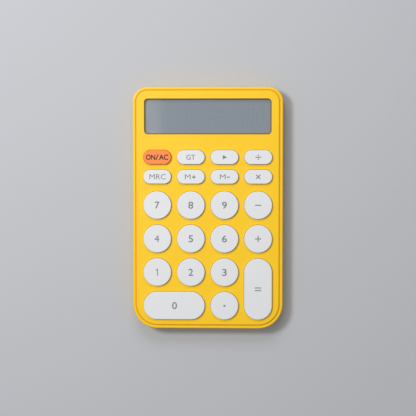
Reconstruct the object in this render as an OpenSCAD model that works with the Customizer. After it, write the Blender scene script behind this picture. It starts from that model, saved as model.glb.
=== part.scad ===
// Desk calculator with twenty-two keys.
// A tray-shaped rear case carries a front cover that sits inside its rim. The keys slide in the
// cover and rest on a rubber sheet over the circuit board. A bayonet cap in the underside closes
// the well of the button cell.
// X runs across the keypad, Y towards the display and Z up. The origin is under the middle of the
// body, on the surface that the feet stand on. Lengths are in millimetres.

/* [Keys] */
// Diameter of the round keys, and width of the function keys
key_d = 18; // [15:0.5:22]
// Gap between neighbouring keys in the round-key block
key_gap = 3.75; // [3.1:0.05:6]
// Size of a function key along the body
pill_h = 9.1; // [8:0.1:13]
// Gap between the two rows of function keys
pill_gap = 3.5; // [2.8:0.1:6]
// Gap between the function keys and the round keys
block_gap = 4.8; // [4:0.1:9]
// Height of the keys above the cover
key_proud = 1.7; // [1.3:0.1:3]
// Travel of a key
key_travel = 1.2; // [0.8:0.1:1.6]
// Rounding of a key's top edge
key_edge_r = 0.4; // [0.3:0.1:1.2]
// Wall of a hollow key
key_wall = 1.3; // [1:0.1:1.8]
// Width of the flange that keeps a key under the cover
flange_w = 0.9; // [0.6:0.1:1.1]

/* [Body] */
// Distance from the outer keys to the side of the body
side_margin = 6.9; // [6:0.1:14]
// Distance from the lowest keys to the end of the body
bottom_margin = 6; // [6:0.1:14]
// Distance from the window to the display end of the body
top_margin = 7.4; // [7:0.1:14]
// Corner radius at the display end
top_corner_r = 9.5; // [6:0.5:13]
// Wall of the rear case, seen as the rim around the cover
rim_w = 1.75; // [1.4:0.05:2.3]
// Width of the groove between the rim and the raised part of the cover
groove_w = 0.6; // [0.4:0.1:1.2]
// Depth of that groove below the rim
groove_depth = 0.5; // [0.4:0.1:1.2]
// Thickness of the rear case's floor
floor_t = 1.6; // [1.5:0.1:2.6]
// Thickness of the front cover
cover_t = 1.8; // [1.7:0.1:2.6]
// Height of the cover above the rim
cover_proud = 0.4; // [0:0.1:1]
// Rounding of the rear case's lower edge
case_edge_r = 2.2; // [1:0.1:3]

/* [Display] */
// Size of the window along the body
window_h = 23.1; // [20:0.1:32]
// Distance that the window's sides lie inside the keypad's sides
window_inset = 0.5; // [0:0.1:3]
// Gap between the window and the function keys
window_gap = 10.15; // [9.8:0.05:16]
// Corner radius of the window
window_r = 2.4; // [1.2:0.1:4]
// Depth of the lens below the cover's face
lens_recess = 0.7; // [0:0.1:0.8]
// Thickness of the lens
lens_t = 0.8; // [0.6:0.1:1]

/* [Inside] */
// Thickness of the circuit board
board_t = 1.0; // [0.8:0.1:1.6]
// Thickness of the rubber sheet
sheet_t = 0.7; // [0.5:0.1:1]
// Space under the circuit board for its components
parts_room = 2.2; // [2:0.1:5]
// Diameter of the button cell
cell_d = 11.6; // [9.5:0.1:14]
// Height of the button cell
cell_h = 3.05; // [2.1:0.05:5.4]
// Radius of a screw boss
boss_r = 2.8; // [2.3:0.1:3.4]

/* [Feet] */
// Diameter of a rubber foot
foot_d = 9; // [6:0.5:12]
// Height that a foot stands below the case
foot_proud = 0.8; // [0.5:0.1:2]

/* [Hidden] */
$fn = 64;
over = 1; // how far a cut runs past the face that it opens

// Clearances and small thicknesses
key_clear = 0.2; // around a key in its hole
slide_gap = 0.1; // between parts that move past each other
touch_gap = 0.05; // between parts that only just clear
cover_fit = 0.1; // between the cover's skirt and the case's wall
skirt_t = 1.3;
flange_t = 0.75;
key_top_t = 1.4;
dome_spare = 1.2; // height of a dome above its travel

// Plan of the keypad and the body
pitch = key_d + key_gap;
keypad_w = 3 * pitch + key_d;
body_w = keypad_w + 2 * side_margin;
window_w = keypad_w - 2 * window_inset;
round_block_l = 3 * pitch + key_d;
body_l = bottom_margin + round_block_l + block_gap + 2 * pill_h + pill_gap
    + window_gap + window_h + top_margin;
bottom_corner_r = key_d / 2 + side_margin;
column_x = [for (c = [0:3]) (c - 1.5) * pitch];
lowest_row_y = bottom_margin - body_l / 2 + key_d / 2;
first_round_y = lowest_row_y + 3 * pitch;
second_pill_y = first_round_y + key_d / 2 + block_gap + pill_h / 2;
first_pill_y = second_pill_y + pill_h + pill_gap;
row_y = [first_pill_y, second_pill_y, for (r = [0:3]) first_round_y - r * pitch];
window_y = body_l / 2 - top_margin - window_h / 2;
gap_y = row_y[0] + pill_h / 2 + window_gap / 2; // middle of the strip under the window

// Display stack, from the cover's face down
tape_t = 0.15;
tape_w = 0.65;
ledge_t = 1.0;
polariser_t = 0.2;
glass_t = 0.55;
reflector_t = 0.25;
lcd_stack = lens_recess + lens_t + tape_t + ledge_t + touch_gap + polariser_t + 2 * glass_t
    + reflector_t;

// Cap and battery stack, from the case's underside up
cap_flange_t = 0.85;
cap_floor_t = 1.6;
lug_t = 0.6;
contact_t = 0.2;
contact_room = 0.45; // from the cell to the carrier
carrier_t = 0.8;
ear_drop = 0.8; // distance that the carrier's ears reach down beside the well
carrier_screw = [1.5, 0.5, 0.75]; // head radius, head height, shank radius
pad_min_t = 0.4; // least thickness of the foam pads under the display
battery_stack = cap_floor_t + touch_gap + cell_h + contact_room + carrier_t + pad_min_t;

// Heights. The board is raised where the battery and the display would not fit under it.
z_case = foot_proud;
z_floor = z_case + floor_t;
keypad_stack = board_t + sheet_t + key_travel + dome_spare + touch_gap + flange_t + slide_gap
    + cover_t;
board_room = max(parts_room, battery_stack + lcd_stack - floor_t - keypad_stack);
z_board = z_floor + board_room;
z_board_top = z_board + board_t;
z_sheet_top = z_board_top + sheet_t;
z_dome_top = z_sheet_top + key_travel + dome_spare;
z_key = z_dome_top + touch_gap;
z_cover = z_key + flange_t + slide_gap;
z_face = z_cover + cover_t;
z_rim = z_face - cover_proud;
z_groove = z_rim - groove_depth;
z_key_top = z_face + key_proud;
z_skirt = z_board_top + 1;
z_lens = z_face - lens_recess - lens_t;
z_tape = z_lens - tape_t;
z_ledge = z_tape - ledge_t;
z_polariser = z_ledge - touch_gap - polariser_t;
z_front_glass = z_polariser - glass_t;
z_rear_glass = z_front_glass - glass_t;
z_reflector = z_rear_glass - reflector_t;

// Display parts in plan
lcd_border = 1.9; // glass beyond the window
lcd_w = window_w + 2 * lcd_border;
lcd_h = window_h + 2 * lcd_border;
lcd_ledge_h = 2.5; // strip of the front glass that carries its contacts
zebra_w = 2;
zebra_l = window_w - 6;
pocket_clear = 0.15;
pocket_wall = 1;
pocket_depth = 1.2; // depth of the pocket's wall beside the glass

// Screws
case_screw = [1.9, 1.1, 0.95]; // head radius, head height, shank radius
board_screw = [1.6, 0.9, 0.75];
screw_clear = 0.15;
pilot_clear = 0.05;
shank_end_gap = 0.4; // from a screw's tip to the end of its pilot hole
pilot_skin = 0.4; // material left over a pilot hole, below the cover's plate
counterbore_depth = 1.4;
pillar_r = boss_r + 0.6;
recess_size = [2.2, 0.5, 0.6]; // cross recess: length, width, depth

// Screw places: the corners under the window, and points between four keys
between_x = [-pitch, 0, pitch];
corner_screw_x = body_w / 2 - rim_w - cover_fit - skirt_t - boss_r - 0.5;
gap_34_y = (row_y[2] + row_y[3]) / 2;
gap_45_y = (row_y[3] + row_y[4]) / 2;
gap_56_y = (row_y[4] + row_y[5]) / 2;
pill_boss_y = row_y[2] + key_d / 2 + block_gap / 2 - 1;
case_screw_points = [
    [-corner_screw_x, gap_y], [corner_screw_x, gap_y],
    [-pitch, gap_45_y], [pitch, gap_45_y], [0, gap_56_y]
];
board_screw_points = [
    [0, gap_y], [-pitch, pill_boss_y], [pitch, pill_boss_y],
    [-pitch, gap_34_y], [pitch, gap_34_y], [0, gap_45_y]
];

// Board and sheet
board_inset = rim_w + cover_fit + skirt_t + 0.4;
sheet_inset = board_inset + 0.5;
lcd_low_y = window_y - lcd_h / 2;
board_top_y = lcd_low_y + lcd_ledge_h + 0.4;
sheet_top_y = gap_y - boss_r - 0.4;
dome_r = 4.2;
dome_neck_r = 3.0;
dome_wall = 0.8;
plunger_r = 2.4;
plunger_h = 0.8;
pill_r = 1.9; // carbon pill under a dome
pill_t = 0.5;
pad_r = 2.6;
pad_t = 0.05;

// Battery well and its bayonet cap
well_wall = 1.1;
cap_ring_t = 1.3; // ring of the cap around the cell
cell_clear = 0.3;
cap_hub_r = cell_d / 2 + cell_clear + cap_ring_t;
lug_reach = 1.2;
cap_flange_r = cap_hub_r + lug_reach + 0.35;
well_r = cap_hub_r + lug_reach + 0.25;
well_outer_r = well_r + well_wall;
lug_angle = 24;
notch_angle = 30;
lug_turn = 45; // anticlockwise turn, seen from below, that brings the lugs to the notches
well_y = (board_top_y + body_l / 2 - rim_w - cover_fit - skirt_t) / 2 + 0.2;
z_cell = z_case + cap_floor_t + touch_gap;
z_cell_top = z_cell + cell_h;
z_carrier = z_cell_top + contact_room;
z_carrier_top = z_carrier + carrier_t;
z_ear = z_carrier - ear_drop;
z_ear_seat = z_carrier_top - carrier_screw[1] - 0.1;
carrier_ear_x = well_outer_r + 2.6;
carrier_ear_r = 2.3;
tail_w = 3;
tail_reach = 1.6; // contact tail beyond the well's wall
positive_x = 2.2;
negative_x = -4.4;

// Feet
foot_recess = 0.5;
foot_inset = foot_d / 2 + 7.5;

// Key table: name, column, row, shape
KEYS = [
    ["key_on_ac", 0, 0, "pill"], ["key_gt", 1, 0, "pill"],
    ["key_backspace", 2, 0, "pill"], ["key_divide", 3, 0, "pill"],
    ["key_mrc", 0, 1, "pill"], ["key_m_plus", 1, 1, "pill"],
    ["key_m_minus", 2, 1, "pill"], ["key_multiply", 3, 1, "pill"],
    ["key_7", 0, 2, "round"], ["key_8", 1, 2, "round"],
    ["key_9", 2, 2, "round"], ["key_minus", 3, 2, "round"],
    ["key_4", 0, 3, "round"], ["key_5", 1, 3, "round"],
    ["key_6", 2, 3, "round"], ["key_plus", 3, 3, "round"],
    ["key_1", 0, 4, "round"], ["key_2", 1, 4, "round"],
    ["key_3", 2, 4, "round"], ["key_equals", 3, 4.5, "tall"],
    ["key_0", 0.5, 5, "wide"], ["key_point", 2, 5, "round"]
];
FEET = [
    ["foot_display_left", -1, 1], ["foot_display_right", 1, 1],
    ["foot_near_left", -1, -1], ["foot_near_right", 1, -1]
];

// Where a key stands, its end radius, the straight stretch between its ends and its turn
function key_x(k) = lookup(k[1], [for (c = [0:3]) [c, column_x[c]]]);
function key_y(k) = lookup(k[2], [for (r = [0:5]) [r, row_y[r]]]);
function key_r(k) = k[3] == "pill" ? pill_h / 2 : key_d / 2;
function key_straight(k) = k[3] == "pill" ? key_d - pill_h : k[3] == "round" ? 0 : pitch;
function key_turn(k) = k[3] == "tall" ? 90 : 0;
function key_stems(k) = k[3] == "wide" || k[3] == "tall" ? [-pitch / 2, pitch / 2] : [0];
function stem_r(k) = min(2.6, key_r(k) - key_wall - 0.6);
// Every dome's place, one under each stem
DOMES = [for (k = KEYS) for (s = key_stems(k))
    [key_x(k) + s * cos(key_turn(k)), key_y(k) + s * sin(key_turn(k))]];

// ---------- shapes ----------

// The body's outline, moved inwards. Its corners differ at the two ends.
module body_outline(inset = 0) {
    w = body_w / 2 - inset;
    l = body_l / 2 - inset;
    rt = top_corner_r - inset;
    rb = bottom_corner_r - inset;
    translate([-w, rb - l]) square([2 * w, 2 * l - rt - rb]);
    translate([rb - w, -l]) square([2 * (w - rb), 2 * rb]);
    translate([rt - w, l - 2 * rt]) square([2 * (w - rt), 2 * rt]);
    for (s = [-1, 1]) {
        translate([s * (w - rb), rb - l]) circle(rb);
        translate([s * (w - rt), l - rt]) circle(rt);
    }
}

// Half of a slab's section: x from 0 to depth, y from 0 to h, with its outer edges rounded.
module slab_section(depth, h, r_top, r_low) {
    translate([0, r_low]) square([depth, h - r_top - r_low]);
    if (r_low > 0) {
        square([depth - r_low, 2 * r_low]);
        translate([depth - r_low, r_low]) circle(r_low);
    }
    if (r_top > 0) {
        translate([0, h - 2 * r_top]) square([depth - r_top, 2 * r_top]);
        translate([depth - r_top, h - r_top]) circle(r_top);
    }
}

// A slab on the body's outline with rounded edges, made of sections swept along its sides and
// turned around its corners.
module body_slab(inset, h, r_top, r_low) {
    w = body_w / 2 - inset;
    l = body_l / 2 - inset;
    rt = top_corner_r - inset;
    rb = bottom_corner_r - inset;
    translate([0, l - rt, 0]) rotate([90, 0, 0]) linear_extrude(2 * l - rt - rb) {
        slab_section(w, h, r_top, r_low);
        mirror([1, 0]) slab_section(w, h, r_top, r_low);
    }
    translate([rt - w, l - rt, 0]) rotate([90, 0, 90]) linear_extrude(2 * (w - rt))
        slab_section(rt, h, r_top, r_low);
    mirror([0, 1, 0]) translate([rb - w, l - rb, 0]) rotate([90, 0, 90])
        linear_extrude(2 * (w - rb)) slab_section(rb, h, r_top, r_low);
    translate([w - rt, l - rt, 0]) rotate_extrude(angle = 90) slab_section(rt, h, r_top, r_low);
    translate([rt - w, l - rt, 0]) rotate([0, 0, 90]) rotate_extrude(angle = 90)
        slab_section(rt, h, r_top, r_low);
    translate([rb - w, rb - l, 0]) rotate([0, 0, 180]) rotate_extrude(angle = 90)
        slab_section(rb, h, r_top, r_low);
    translate([w - rb, rb - l, 0]) rotate([0, 0, 270]) rotate_extrude(angle = 90)
        slab_section(rb, h, r_top, r_low);
}

// A flat outline with round ends, long in X.
module capsule_outline(straight, r) {
    if (straight > 0) translate([-straight / 2, -r]) square([straight, 2 * r]);
    translate([-straight / 2, 0]) circle(r);
    translate([straight / 2, 0]) circle(r);
}

// A solid with round ends, swept from the half section given as its child.
module capsule_sweep(straight) {
    if (straight > 0) {
        translate([-straight / 2, 0, 0]) rotate([90, 0, 90]) linear_extrude(straight) {
            children();
            mirror([1, 0]) children();
        }
        for (a = [0, 180]) rotate([0, 0, a]) translate([straight / 2, 0, 0])
            rotate([0, 0, -90]) rotate_extrude(angle = 180) children();
    } else {
        rotate_extrude() children();
    }
}

// A rectangle with rounded corners, centred.
module rounded_rect(w, h, r) {
    square([w - 2 * r, h], center = true);
    square([w, h - 2 * r], center = true);
    for (x = [-1, 1], y = [-1, 1]) translate([x * (w / 2 - r), y * (h / 2 - r)]) circle(r);
}

// A sector between two radii, centred on the X axis.
module sector(r_in, r_out, angle) {
    intersection() {
        difference() {
            circle(r_out);
            circle(r_in);
        }
        reach = 2 * r_out;
        polygon([[0, 0], [reach, -reach * tan(angle / 2)], [reach, reach * tan(angle / 2)]]);
    }
}

// A plate on the XY plane, from z1 up to z2.
module plate(z1, z2) {
    translate([0, 0, z1]) linear_extrude(z2 - z1) children();
}

// A flat block placed by its lowest corner and its size.
module block(low, size) {
    translate(low) cube(size);
}

// A cross-head screw driven upwards: its head hangs below z_seat.
module screw_up(size, z_seat, z_tip) {
    head_r = size[0];
    shank_r = size[2];
    difference() {
        union() {
            plate(z_seat - size[1], z_seat) circle(head_r);
            plate(z_seat - 0.1, z_tip - shank_r) circle(shank_r);
            translate([0, 0, z_tip - shank_r]) cylinder(h = shank_r, r1 = shank_r, r2 = 0.2);
        }
        for (a = [0, 90]) rotate([0, 0, a])
            plate(z_seat - size[1] - over, z_seat - size[1] + recess_size[2])
                square([recess_size[0], recess_size[1]], center = true);
    }
}

// A round wire through a list of points.
module wire(points, r) {
    for (i = [1:len(points) - 1]) {
        run = points[i] - points[i - 1];
        flat = norm([run[0], run[1]]);
        translate(points[i - 1]) rotate([0, atan2(flat, run[2]), atan2(run[1], run[0])])
            cylinder(h = norm(run), r = r);
    }
    for (i = [1:len(points) - 2]) translate(points[i]) sphere(r);
}

// ---------- keys ----------

// Half section of a key with its flange, before it is hollowed.
module key_section(r) {
    translate([0, z_key]) square([r + flange_w, flange_t]);
    translate([0, z_key]) square([r, z_key_top - key_edge_r - z_key]);
    translate([0, z_key]) square([r - key_edge_r, z_key_top - z_key]);
    translate([r - key_edge_r, z_key_top - key_edge_r]) circle(key_edge_r);
}

module key_hollow_section(r) {
    translate([0, z_key - over]) square([r - key_wall, z_key_top - key_top_t - z_key + over]);
}

// A round key would turn in its hole, so its flange has a tab that runs between two guides.
tab_w = 2.6;
tab_reach = 1.1;
tab_direction = 45;

module key(k) {
    r = key_r(k);
    translate([key_x(k), key_y(k), 0]) rotate([0, 0, key_turn(k)]) {
        difference() {
            capsule_sweep(key_straight(k)) key_section(r);
            capsule_sweep(key_straight(k)) key_hollow_section(r);
        }
        for (s = key_stems(k)) translate([s, 0, 0])
            plate(z_key, z_key_top - key_top_t + 0.1) circle(stem_r(k));
        if (k[3] == "round") rotate([0, 0, tab_direction])
            block([r, -tab_w / 2, z_key], [flange_w + tab_reach, tab_w, flange_t]);
    }
}

// The pair of guides that stand beside a round key's tab, under the cover.
module tab_guides(k) {
    guide_t = 0.8;
    r = key_r(k) + flange_w + 0.3;
    drop = key_travel + flange_t;
    translate([key_x(k), key_y(k), 0]) rotate([0, 0, tab_direction]) for (s = [-1, 1])
        translate([r, s * (tab_w / 2 + slide_gap + guide_t / 2) - guide_t / 2, z_cover - drop])
            cube([tab_reach + 0.5, guide_t, drop + 0.1]);
}

// ---------- cover and display ----------

module front_cover() color([1.0, 0.78, 0.10]) {
    skirt_inset = rim_w + cover_fit;
    difference() {
        union() {
            translate([0, 0, z_groove])
                body_slab(rim_w + groove_w, z_face - z_groove, 0.6, 0);
            plate(z_cover, z_groove) body_outline(skirt_inset);
            plate(z_skirt, z_cover) difference() {
                body_outline(skirt_inset);
                body_outline(skirt_inset + skirt_t);
            }
            // Wall around the display glass
            translate([0, window_y, 0]) plate(z_polariser - pocket_depth, z_cover)
                square([lcd_w + 2 * (pocket_clear + pocket_wall),
                        lcd_h + 2 * (pocket_clear + pocket_wall)], center = true);
            for (p = concat(case_screw_points, board_screw_points))
                translate(p) plate(z_board_top, z_cover) circle(boss_r);
            for (k = KEYS) if (k[3] == "round") tab_guides(k);
        }
        // Pocket for the display glass, up to the ledge under the lens
        translate([0, window_y, 0]) {
            plate(z_board_top, z_ledge)
                square([lcd_w + 2 * pocket_clear, lcd_h + 2 * pocket_clear], center = true);
            plate(z_ledge - over, z_face + over)
                rounded_rect(window_w - 2 * tape_w, window_h - 2 * tape_w, window_r - tape_w);
            plate(z_tape, z_face + over) rounded_rect(window_w, window_h, window_r);
        }
        for (k = KEYS) translate([key_x(k), key_y(k), 0]) rotate([0, 0, key_turn(k)])
            plate(z_cover - over, z_face + over)
                capsule_outline(key_straight(k), key_r(k) + key_clear);
        for (p = case_screw_points) translate(p)
            plate(z_board_top - over, z_cover - pilot_skin) circle(case_screw[2] + pilot_clear);
        for (p = board_screw_points) translate(p)
            plate(z_board_top - over, z_cover - pilot_skin) circle(board_screw[2] + pilot_clear);
    }
}

module display_lens() color([0.75, 0.80, 0.84, 0.35]) translate([0, window_y, 0])
    plate(z_lens, z_lens + lens_t)
        rounded_rect(window_w - 2 * slide_gap, window_h - 2 * slide_gap, window_r - slide_gap);

module lens_tape() color([0.12, 0.12, 0.13]) translate([0, window_y, 0])
    plate(z_tape, z_lens) difference() {
        rounded_rect(window_w - 2 * slide_gap, window_h - 2 * slide_gap, window_r - slide_gap);
        rounded_rect(window_w - 2 * tape_w, window_h - 2 * tape_w, window_r - tape_w);
    }

module lcd_front_polariser() color([0.60, 0.64, 0.68]) translate([0, window_y, 0])
    plate(z_polariser, z_polariser + polariser_t)
        square([window_w + lcd_border, window_h + lcd_border], center = true);

module lcd_front_glass() color([0.70, 0.78, 0.78, 0.5]) translate([0, window_y, 0])
    plate(z_front_glass, z_polariser) square([lcd_w, lcd_h], center = true);

module lcd_rear_glass() color([0.70, 0.78, 0.78, 0.5])
    block([-lcd_w / 2, lcd_low_y + lcd_ledge_h, z_rear_glass],
          [lcd_w, lcd_h - lcd_ledge_h, glass_t]);

module lcd_reflector() color([0.62, 0.64, 0.65])
    block([-lcd_w / 2 + 1, lcd_low_y + lcd_ledge_h + 0.5, z_reflector],
          [lcd_w - 2, lcd_h - lcd_ledge_h - 1, reflector_t]);

module lcd_zebra_connector() color([0.85, 0.60, 0.62])
    block([-zebra_l / 2, lcd_low_y + (lcd_ledge_h - zebra_w) / 2, z_board_top],
          [zebra_l, zebra_w, z_front_glass - z_board_top]);

// Foam pads press the display up against the ledge. Posts of the rear case carry them.
pad_size = [8, 14];
pad_x = lcd_w / 2 - 2 - pad_size[0];
pad_y = window_y + 1 - pad_size[1] / 2;
pad_t_z = 0.8; // thickness of a foam pad
module lcd_foam_pads() color([0.20, 0.20, 0.22]) for (s = [-1, 1])
    translate([s * (pad_x + pad_size[0] / 2), 0, 0])
        block([-pad_size[0] / 2, pad_y, z_reflector - pad_t_z],
              [pad_size[0], pad_size[1], pad_t_z]);

// ---------- board and rubber sheet ----------

module circuit_board() color([0.16, 0.42, 0.26]) difference() {
    plate(z_board, z_board_top) intersection() {
        body_outline(board_inset);
        translate([-body_w / 2, -body_l / 2]) square([body_w, body_l / 2 + board_top_y]);
    }
    for (p = case_screw_points) translate(p)
        plate(z_board - over, z_board_top + over) circle(case_screw[2] + screw_clear);
    for (p = board_screw_points) translate(p)
        plate(z_board - over, z_board_top + over) circle(board_screw[2] + screw_clear);
}

module contact_pads() color([0.08, 0.08, 0.09]) for (p = DOMES) translate(p)
    plate(z_board_top, z_board_top + pad_t) circle(pad_r);

// The chip sits under a drop of resin on the board's lower face.
chip_r = 5;
chip_h = 1.3;
chip_dome_r = (chip_r * chip_r + chip_h * chip_h) / (2 * chip_h);
chip_y = (row_y[0] + row_y[1]) / 2;
module controller_chip() color([0.06, 0.06, 0.07]) translate([0, chip_y, z_board])
    rotate_extrude() intersection() {
        translate([0, -chip_h]) square([chip_r, chip_h]);
        translate([0, chip_dome_r - chip_h]) circle(chip_dome_r, $fn = 240);
    }

chip_part = [2, 1.25, 0.8];
module chip_parts(points) {
    for (p = points) translate([p[0], p[1], 0])
        block([-chip_part[0] / 2, -chip_part[1] / 2, z_board - chip_part[2]], chip_part);
}
module chip_capacitors() color([0.72, 0.60, 0.42])
    chip_parts([[-9, chip_y + 4], [-9, chip_y], [9, chip_y + 4]]);
module chip_resistors() color([0.10, 0.10, 0.12]) chip_parts([[9, chip_y], [9, chip_y - 4]]);

module rubber_keypad() color([0.86, 0.87, 0.88]) difference() {
    union() {
        plate(z_board_top, z_sheet_top) intersection() {
            body_outline(sheet_inset);
            translate([-body_w / 2, -body_l / 2]) square([body_w, body_l / 2 + sheet_top_y]);
        }
        for (p = DOMES) translate([p[0], p[1], 0]) {
            translate([0, 0, z_sheet_top - 0.1])
                cylinder(h = z_dome_top - plunger_h - z_sheet_top + 0.1,
                         r1 = dome_r, r2 = dome_neck_r);
            plate(z_dome_top - plunger_h - 0.2, z_dome_top) circle(plunger_r);
        }
    }
    for (p = DOMES) translate([p[0], p[1], z_board_top - 0.01])
        cylinder(h = key_travel + pill_t + 0.01, r1 = dome_r - dome_wall, r2 = pill_r + 0.2);
    for (p = concat(case_screw_points, board_screw_points)) translate(p)
        plate(z_board_top - over, z_sheet_top + over) circle(boss_r + 0.3);
}

module carbon_pills() color([0.05, 0.05, 0.05]) for (p = DOMES) translate(p)
    plate(z_board_top + key_travel, z_board_top + key_travel + pill_t) circle(pill_r);

// ---------- battery ----------

module battery_cap() color([0.97, 0.74, 0.09]) translate([0, well_y, 0]) difference() {
    union() {
        plate(z_case, z_case + cap_flange_t) circle(cap_flange_r);
        plate(z_case, z_floor + slide_gap + lug_t) circle(cap_hub_r);
        for (a = [0, 120, 240]) rotate([0, 0, a])
            plate(z_floor + slide_gap, z_floor + slide_gap + lug_t)
                sector(cap_hub_r - 0.5, cap_hub_r + lug_reach, lug_angle);
    }
    plate(z_case + cap_floor_t, z_floor + over + lug_t) circle(cell_d / 2 + cell_clear);
    // Coin slot, and a dot that shows how far the cap is turned
    plate(z_case - over, z_case + 0.6) rounded_rect(1.4 * cap_hub_r, 1.7, 0.6);
    translate([0, cap_hub_r - 1.2, 0]) plate(z_case - over, z_case + 0.3) circle(0.6);
}

module button_cell() color([0.80, 0.80, 0.78]) translate([0, well_y, 0]) {
    plate(z_cell, z_cell_top - 0.3) circle(cell_d / 2);
    plate(z_cell_top - 0.4, z_cell_top) circle(cell_d / 2 - 1.1);
}

module battery_contact_carrier() color([0.93, 0.93, 0.90]) translate([0, well_y, 0])
    difference() {
        union() {
            plate(z_carrier, z_carrier_top) {
                circle(well_outer_r);
                square([2 * carrier_ear_x, 2 * carrier_ear_r], center = true);
            }
            for (s = [-1, 1]) translate([s * carrier_ear_x, 0, 0])
                plate(z_ear, z_carrier_top) circle(carrier_ear_r);
        }
        for (s = [-1, 1]) translate([s * carrier_ear_x, 0, 0]) {
            plate(z_ear_seat, z_carrier_top + over) circle(carrier_screw[0] + 0.2);
            plate(z_ear - over, z_carrier_top) circle(carrier_screw[2] + screw_clear);
        }
    }

// Strip under the carrier whose spring tongue presses on the cell's small face, with a tail that
// leaves the well through a slot.
module battery_contact_negative() color([0.84, 0.72, 0.46]) translate([0, well_y, 0]) {
    y_tail = -(well_outer_r + tail_reach);
    z_top = z_carrier;
    block([negative_x - tail_w / 2, y_tail, z_top - contact_t], [tail_w, -y_tail, contact_t]);
    translate([0, tail_w / 2 - 2, 0]) rotate([90, 0, 0]) linear_extrude(tail_w) polygon([
        [negative_x, z_top - contact_t], [0, z_cell_top], [1.5, z_cell_top],
        [1.5, z_cell_top + contact_t], [0, z_cell_top + contact_t], [negative_x, z_top]
    ]);
}

// Leaf that presses on the side of the cell, bent over to a tail like the other.
module battery_contact_positive() color([0.84, 0.72, 0.46]) translate([0, well_y, 0]) {
    y_tail = -(well_outer_r + tail_reach);
    z_top = z_carrier;
    y_leaf = -sqrt(pow(cell_d / 2, 2) - pow(positive_x - tail_w / 2, 2));
    block([positive_x - tail_w / 2, y_tail, z_top - contact_t],
          [tail_w, y_leaf - y_tail, contact_t]);
    block([positive_x - tail_w / 2, y_leaf - contact_t, z_cell + 1.4],
          [tail_w, contact_t, z_top - z_cell - 1.4]);
}

// Leads from the contact tails to the lower face of the circuit board.
lead_r = 0.5;
module battery_lead(x) {
    y_tail = well_y - well_outer_r - tail_reach + 0.6;
    y_drop = board_top_y + 0.9;
    z_tail = z_carrier - contact_t - lead_r;
    z_end = z_board - lead_r;
    wire([[x, y_tail, z_tail], [x, y_drop, z_tail], [x, y_drop, z_end],
          [x, board_top_y - 2.2, z_end]], lead_r);
}
module battery_lead_red() color([0.80, 0.10, 0.08]) battery_lead(positive_x);
module battery_lead_black() color([0.08, 0.08, 0.08]) battery_lead(negative_x);

// ---------- rear case ----------

module case_ribs() {
    // Ribs along the walls carry the cover's skirt.
    rib_t = 1.2;
    depth = cover_fit + skirt_t;
    x_wall = body_w / 2 - rim_w;
    y_wall = body_l / 2 - rim_w;
    for (s = [-1, 1], y = [-0.3, -0.1, 0.1, 0.3])
        block([s > 0 ? x_wall - depth : -x_wall - 0.5, y * body_l - rib_t / 2, z_floor - 0.1],
              [depth + 0.5, rib_t, z_skirt - z_floor + 0.1]);
    for (s = [-1, 1], x = [-0.2, 0.2])
        block([x * body_w - rib_t / 2, s > 0 ? y_wall - depth : -y_wall - 0.5, z_floor - 0.1],
              [rib_t, depth + 0.5, z_skirt - z_floor + 0.1]);
}

module rear_case() color([0.99, 0.77, 0.10]) difference() {
    union() {
        difference() {
            translate([0, 0, z_case]) body_slab(0, z_rim - z_case, 0.6, case_edge_r);
            plate(z_floor, z_rim + over) body_outline(rim_w);
        }
        case_ribs();
        for (p = case_screw_points) translate(p)
            plate(z_floor - 0.1, z_board - touch_gap) circle(pillar_r);
        for (s = [-1, 1]) translate([s * (pad_x + pad_size[0] / 2), 0, 0])
            block([-pad_size[0] / 2, pad_y, z_floor - 0.1],
                  [pad_size[0], pad_size[1], z_reflector - pad_t_z - z_floor + 0.1]);
        // Battery well with its carrier posts
        translate([0, well_y, 0]) {
            plate(z_floor - 0.1, z_carrier) difference() {
                circle(well_outer_r);
                circle(well_r);
            }
            for (s = [-1, 1]) translate([s * carrier_ear_x, 0, 0])
                plate(z_floor - 0.1, z_ear) circle(carrier_ear_r);
        }
        // Stops that hold the cap's lugs in the locked place
        translate([0, well_y, 0]) for (a = [0, 120, 240])
            rotate([0, 0, a + lug_angle / 2 + 5])
                plate(z_floor - 0.1, z_floor + slide_gap + lug_t)
                    sector(cap_hub_r + slide_gap + 0.05, well_r + 0.3, 6);
    }
    for (p = case_screw_points) translate(p) {
        plate(z_case - over, z_case + counterbore_depth) circle(case_screw[0] + 0.4);
        plate(z_case, z_board + over) circle(case_screw[2] + screw_clear);
    }
    for (f = FEET) foot_place(f) plate(z_case - over, z_case + foot_recess)
        circle(foot_d / 2 + 0.1);
    translate([0, well_y, 0]) {
        plate(z_case - over, z_case + cap_flange_t + slide_gap)
            circle(cap_flange_r + 0.15);
        plate(z_case, z_floor + 0.05) circle(cap_hub_r + 0.15);
        for (a = [0, 120, 240]) rotate([0, 0, a - lug_turn]) plate(z_case, z_floor + 0.05)
            sector(cap_hub_r - 0.5, cap_hub_r + lug_reach + 0.15, notch_angle);
        for (x = [positive_x, negative_x])
            block([x - tail_w / 2 - 0.2, -well_outer_r - over, z_carrier - 0.5],
                  [tail_w + 0.4, well_wall + 4, over + 0.5]);
        for (s = [-1, 1]) translate([s * carrier_ear_x, 0, 0])
            plate(z_floor + 0.3, z_ear + over) circle(carrier_screw[2] + pilot_clear);
    }
}

// ---------- feet and screws ----------

module foot_place(f) {
    translate([f[1] * (body_w / 2 - foot_inset), f[2] * (body_l / 2 - foot_inset), 0]) children();
}

module foot(f) color([0.16, 0.16, 0.17]) foot_place(f) rotate_extrude()
    slab_section(foot_d / 2, foot_proud + foot_recess, 0, 0.25);

module case_screws() color([0.70, 0.71, 0.73]) for (p = case_screw_points) translate(p)
    screw_up(case_screw, z_case + counterbore_depth, z_cover - pilot_skin - shank_end_gap);

module board_screws() color([0.70, 0.71, 0.73]) for (p = board_screw_points) translate(p)
    screw_up(board_screw, z_board, z_cover - pilot_skin - shank_end_gap);

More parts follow.
